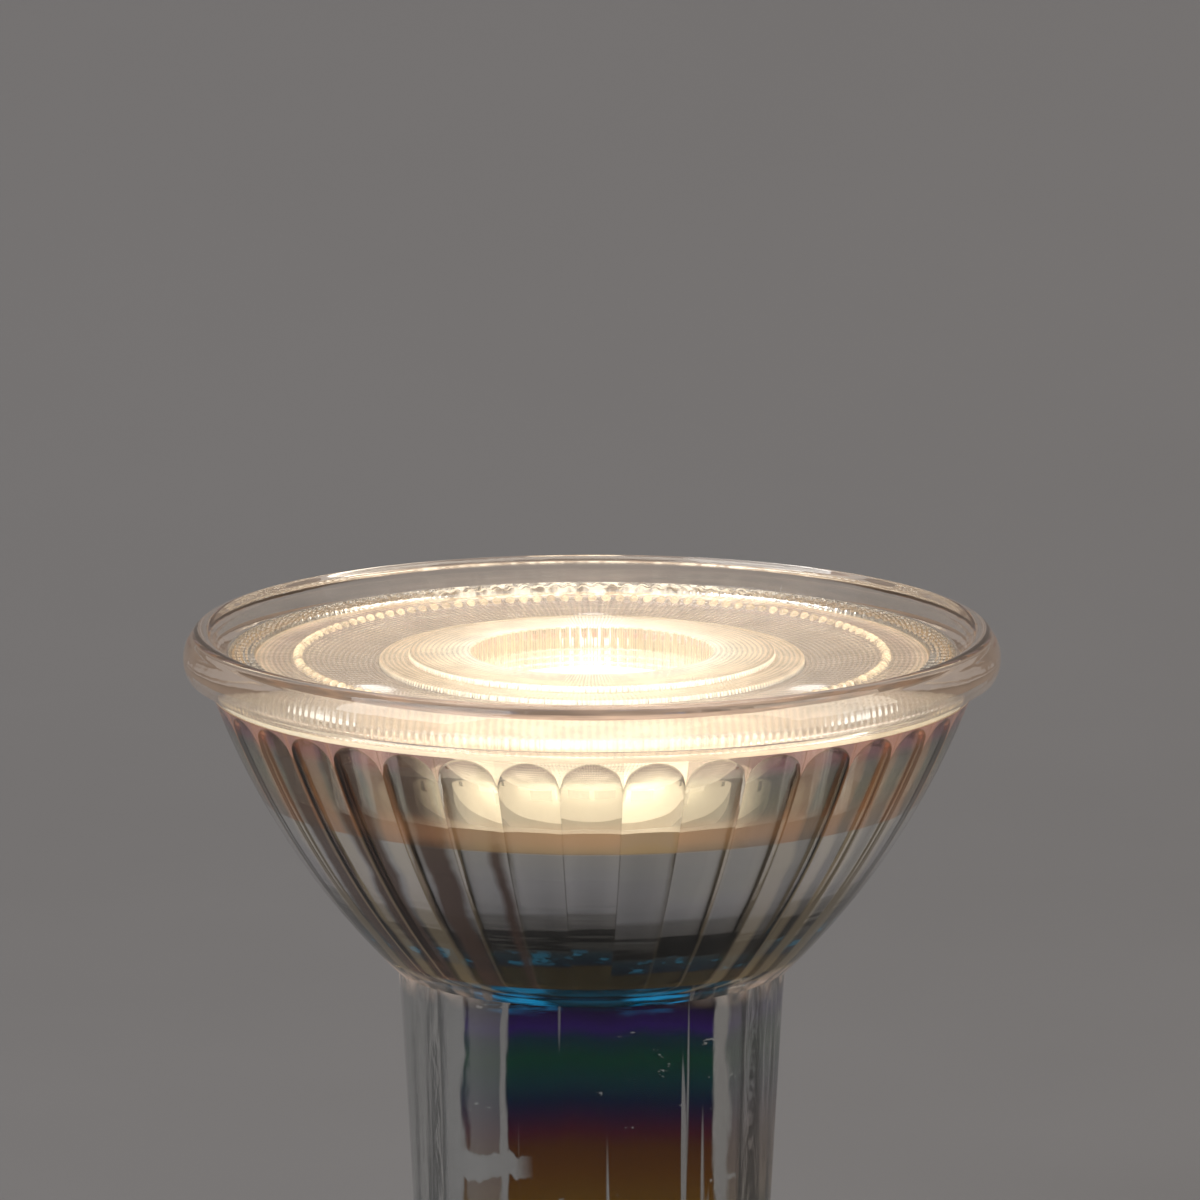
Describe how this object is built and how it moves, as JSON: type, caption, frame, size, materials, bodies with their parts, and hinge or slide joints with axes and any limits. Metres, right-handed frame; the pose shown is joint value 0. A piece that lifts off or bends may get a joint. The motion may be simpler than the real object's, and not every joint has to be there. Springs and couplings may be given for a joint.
{
  "type": "led spotlight bulb",
  "caption": "Reflector spotlight bulb with a clear pressed-glass bowl and neck, a ringed front lens and a twist-and-lock two-pin mains cap.",
  "frame": {"origin": "middle of the flat glass base, between the two contact pins", "axes": "+Z along the bulb's axis towards the light, X through the two pins"},
  "size_m": [0.05, 0.05, 0.054],
  "materials": {
    "clear_glass": "pressed clear borosilicate glass, inner coating in the neck",
    "clear_lens": "clear moulded acrylic",
    "silicone": "cured translucent silicone",
    "stamped_aluminium": "stamped, satin",
    "led_board_face": "white solder mask on aluminium core",
    "led_housing": "white moulded resin",
    "phosphor": "phosphor in silicone, lit warm white",
    "tinned_pins": "tinned",
    "circuit_board": "green solder mask",
    "can_sleeve": "black heat-shrink sleeve",
    "ferrite": "sintered ferrite",
    "enamelled_copper": "enamelled copper wire",
    "film_capacitor_box": "moulded box",
    "resistor_lacquer": "lacquered",
    "black_epoxy": "moulded epoxy",
    "ceramic_chip": "ceramic",
    "radio_board_face": "blue solder mask",
    "nickel_brass": "nickel-plated, turned",
    "solder": "solder",
    "lead_insulation": "heat-resistant sleeve"
  },
  "bodies": {
    "root": {"glass_body": "clear_glass", "front_lens": "clear_lens", "lens_bond": "silicone", "heat_spreader": "stamped_aluminium", "led_board": "led_board_face", "led_packages": "led_housing", "led_phosphors": "phosphor", "led_leads": "tinned_pins", "driver_board": "circuit_board", "electrolytic_capacitor": "can_sleeve", "inductor_core": "ferrite", "inductor_winding": "enamelled_copper", "film_capacitor": "film_capacitor_box", "output_capacitor": "can_sleeve", "fusible_resistor": "resistor_lacquer", "bridge_rectifier": "black_epoxy", "driver_chip": "black_epoxy", "output_diode": "black_epoxy", "chip_resistors": "black_epoxy", "chip_capacitors": "ceramic_chip", "radio_board": "radio_board_face", "radio_chip": "black_epoxy", "edge_adhesive": "silicone", "contact_pin_left": "nickel_brass", "contact_pin_right": "nickel_brass", "pin_washer_left": "nickel_brass", "pin_washer_right": "nickel_brass", "pin_solder_left": "solder", "pin_solder_right": "solder", "mains_lead_left": "lead_insulation", "mains_lead_right": "lead_insulation"}
  },
  "joints": []
}
